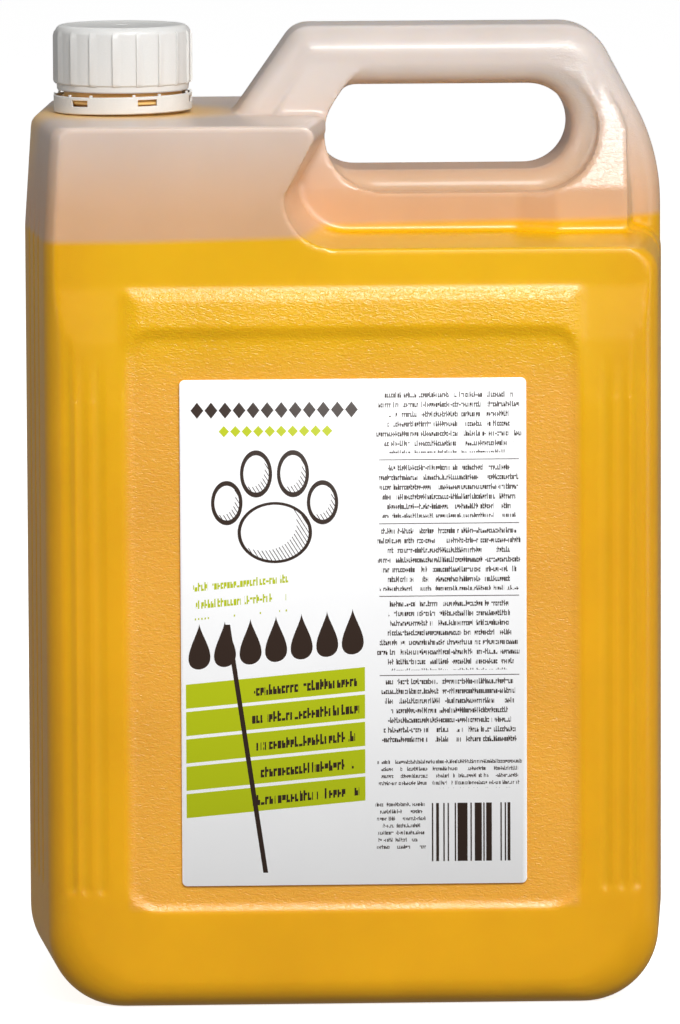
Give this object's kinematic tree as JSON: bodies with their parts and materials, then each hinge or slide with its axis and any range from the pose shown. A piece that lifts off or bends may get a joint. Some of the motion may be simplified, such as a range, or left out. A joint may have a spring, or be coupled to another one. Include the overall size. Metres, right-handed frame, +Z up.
{
  "type": "shampoo canister",
  "caption": "Tall blow moulded canister of liquid shampoo with a grip handle through its shoulder, a wide screw neck, a ribbed cap over a tamper band, and a front label.",
  "frame": {"origin": "middle of the base, on the plane that the canister stands on", "axes": "+Z up; +X towards the side of the handle; -Y towards the front label. The parting plane of the mould is y = 0."},
  "size_m": [0.19, 0.128, 0.2861],
  "materials": {
    "canister_shell": "natural milky polyethylene, satin with a fine grain, translucent",
    "contents": "opaque egg-yellow liquid shampoo",
    "front_label": "white film label, satin, printed in dark brown and olive green",
    "white_closure": "white injection moulded polyethylene, satin",
    "foam_wad": "white foamed polyethylene sheet, matt"
  },
  "bodies": {
    "bottle": {"bottle": "canister_shell", "shampoo": "contents", "label": "front_label"},
    "band": {"tamper_band": "white_closure"},
    "liner": {"cap_liner": "foam_wad"},
    "cap": {"screw_cap": "white_closure"}
  },
  "joints": [
    {"name": "band_turn", "type": "hinge", "parent": "bottle", "child": "band", "pos_m": [-0.0655, 0, 0.2631], "axis": [0, 0, 1], "continuous": true},
    {"name": "cap_lift", "type": "slide", "parent": "bottle", "child": "liner", "axis": [0, 0, 1], "range_m": [0, 0.01681]},
    {"name": "cap_turn", "type": "hinge", "parent": "liner", "child": "cap", "pos_m": [-0.0655, 0, 0.276], "axis": [0, 0, 1], "range_deg": [0, 1440]}
  ],
  "couplings": [
    {"joint": "cap_lift", "follows": "cap_turn", "m_per_rad": 0.00066845}
  ]
}
